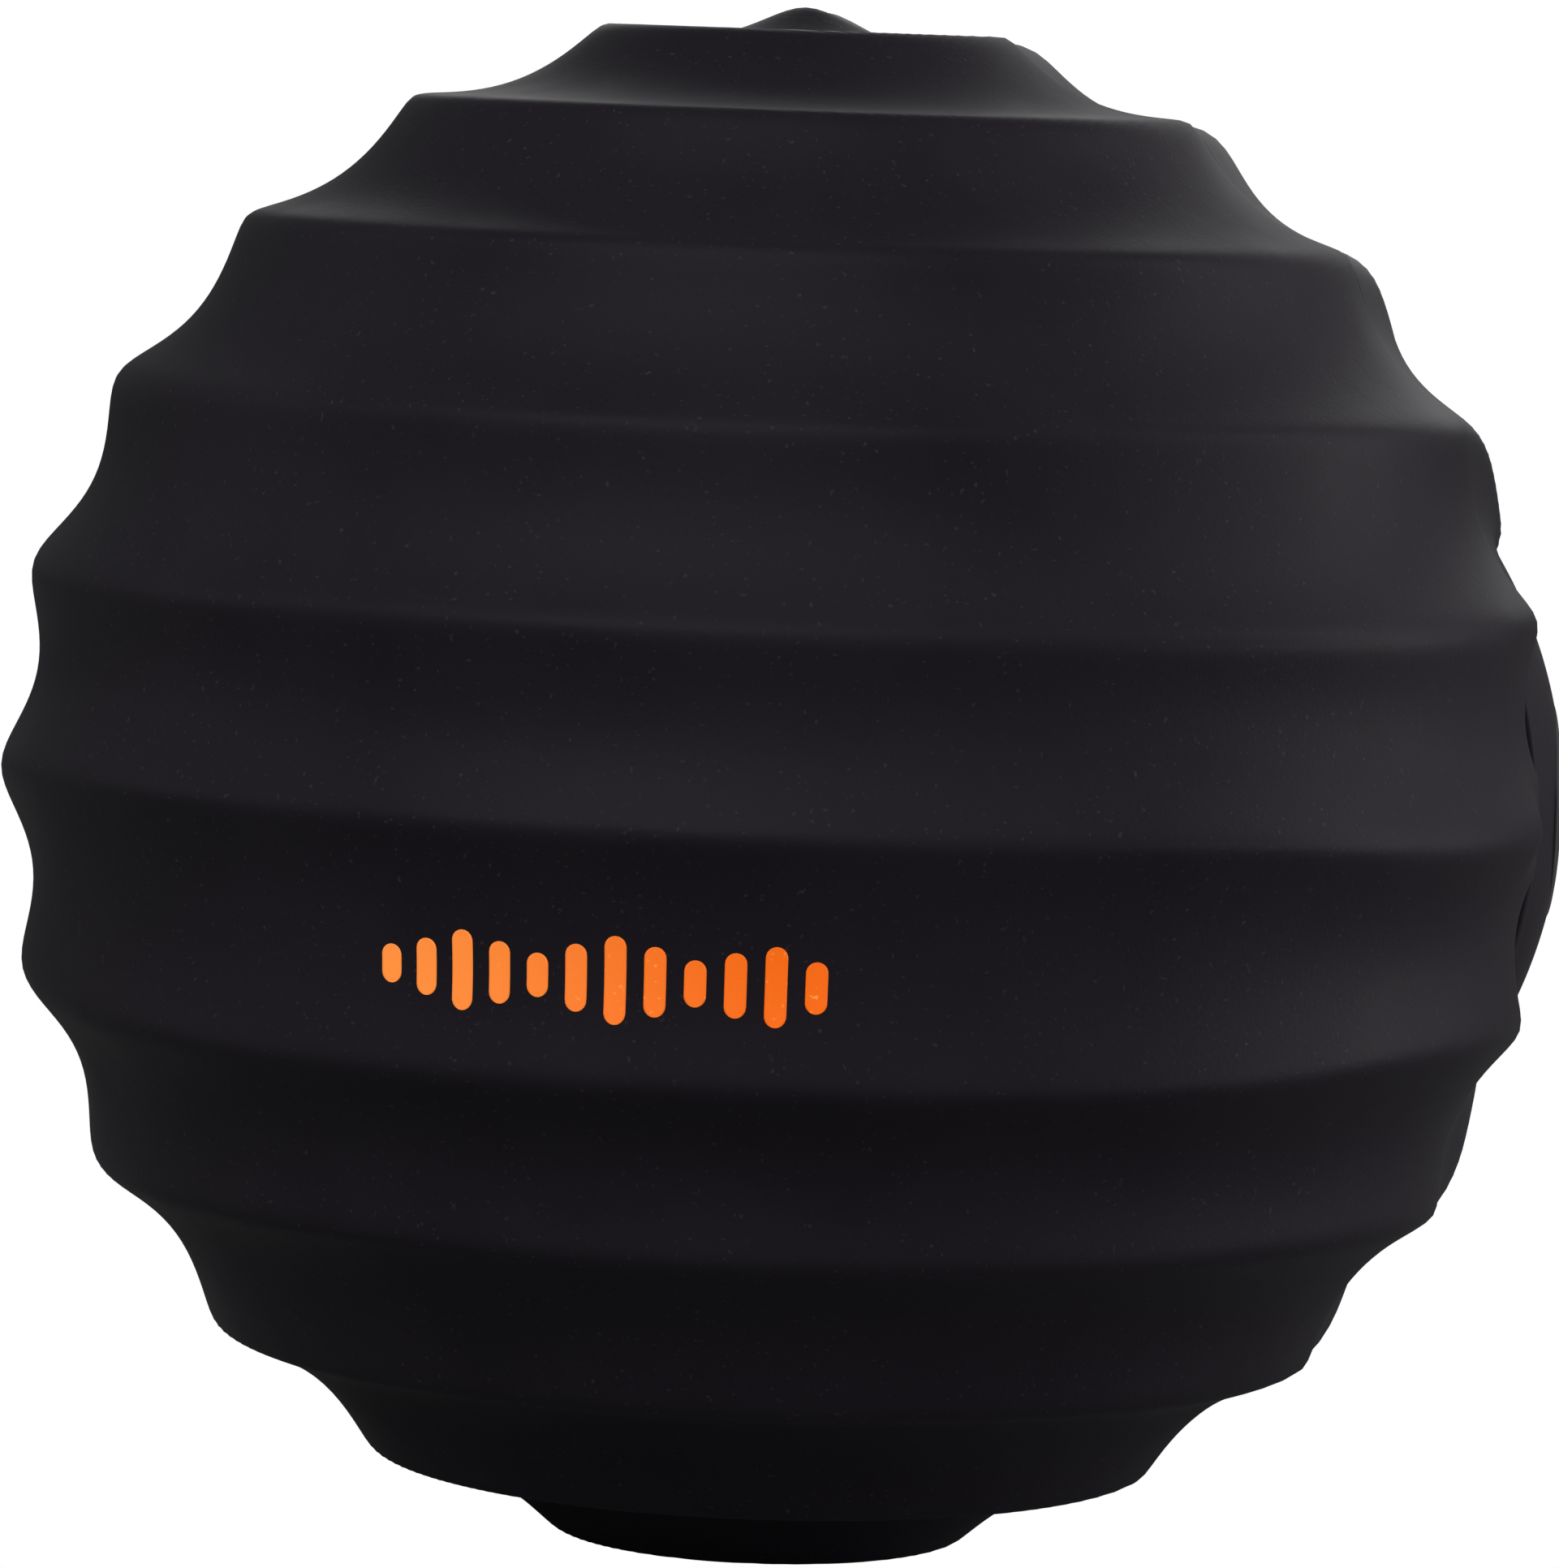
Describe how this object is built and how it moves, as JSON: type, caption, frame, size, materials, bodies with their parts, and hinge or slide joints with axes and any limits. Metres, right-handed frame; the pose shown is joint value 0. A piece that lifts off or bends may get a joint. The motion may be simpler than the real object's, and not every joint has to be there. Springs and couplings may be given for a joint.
{
  "type": "vibrating massage ball",
  "caption": "Ridged silicone massage ball in two halves, with a power button, a covered charging port and a motor with eccentric weights inside.",
  "frame": {"origin": "centre of the ball", "axes": "+Z along the axis of the front half's ridges, -Y through the front half, +X towards the power button"},
  "size_m": [0.1248, 0.125, 0.1248],
  "materials": {
    "silicone_front": "matt moulded silicone with a fine grain",
    "silicone_rear": "matt moulded silicone with a fine grain",
    "housing": "moulded plastic",
    "gasket": "matt rubber",
    "screw_steel": "zinc plated",
    "chassis": "moulded plastic",
    "motor_steel": "plated steel",
    "magnet": "sintered ferrite",
    "winding": "enamelled copper",
    "weight": "machined",
    "damper": "soft rubber",
    "cell_wrap": "shrink-wrapped",
    "nickel": "nickel plated",
    "board": "solder mask over glass epoxy",
    "chip": "moulded epoxy",
    "lens": "clear diffusing plastic",
    "button": "satin moulded plastic",
    "wire_red": "wire insulation",
    "wire_black": "wire insulation"
  },
  "bodies": {
    "ball": {"front_cover": "silicone_front", "rear_cover": "silicone_rear", "front_shell": "housing", "rear_shell": "housing", "seam_ring": "gasket", "case_screw_1": "screw_steel", "case_screw_2": "screw_steel", "case_screw_3": "screw_steel", "case_screw_4": "screw_steel", "chassis_plate": "chassis", "motor_can": "motor_steel", "motor_end_bell": "chassis", "motor_magnet_right": "magnet", "motor_magnet_left": "magnet", "motor_damper_top": "damper", "motor_damper_bottom": "damper", "motor_clamp_top": "chassis", "motor_clamp_bottom": "chassis", "clamp_screw_1": "screw_steel", "clamp_screw_2": "screw_steel", "clamp_screw_3": "screw_steel", "clamp_screw_4": "screw_steel", "cell_right": "cell_wrap", "cell_left": "cell_wrap", "battery_tray": "chassis", "battery_strap": "chassis", "strap_screw_1": "screw_steel", "strap_screw_2": "screw_steel", "cell_link": "nickel", "cell_tab_right": "nickel", "cell_tab_left": "nickel", "control_board": "board", "controller_chip": "chip", "board_screw_1": "screw_steel", "board_screw_2": "screw_steel", "tact_switch": "chip", "led_1": "lens", "led_2": "lens", "led_3": "lens", "led_4": "lens", "button_bezel": "housing", "charge_board": "board", "charge_screw_1": "screw_steel", "charge_screw_2": "screw_steel", "charge_socket": "nickel", "port_bezel": "housing", "motor_lead_red": "wire_red", "motor_lead_black": "wire_black", "battery_lead_red": "wire_red", "battery_lead_black": "wire_black", "charge_lead": "wire_black"},
    "button": {"power_button": "button"},
    "rotor": {"motor_shaft": "screw_steel", "motor_armature": "winding", "eccentric_weight_top": "weight", "eccentric_weight_bottom": "weight"},
    "plug": {"port_plug": "silicone_rear"}
  },
  "joints": [
    {"name": "button_press", "type": "slide", "parent": "ball", "child": "button", "axis": [-0.9703, -0.2419, 0], "range_m": [0, 0.0006], "stiffness_N_per_m": 800, "springref_m": -0.0005},
    {"name": "rotor_spin", "type": "hinge", "parent": "ball", "child": "rotor", "pos_m": [0, -0.019, 0], "axis": [0, 0, 1], "continuous": true},
    {"name": "plug_flap", "type": "hinge", "parent": "ball", "child": "plug", "pos_m": [-0.05788, 0.02165, 0], "axis": [0, 0, -1], "range_deg": [0, 105]}
  ]
}
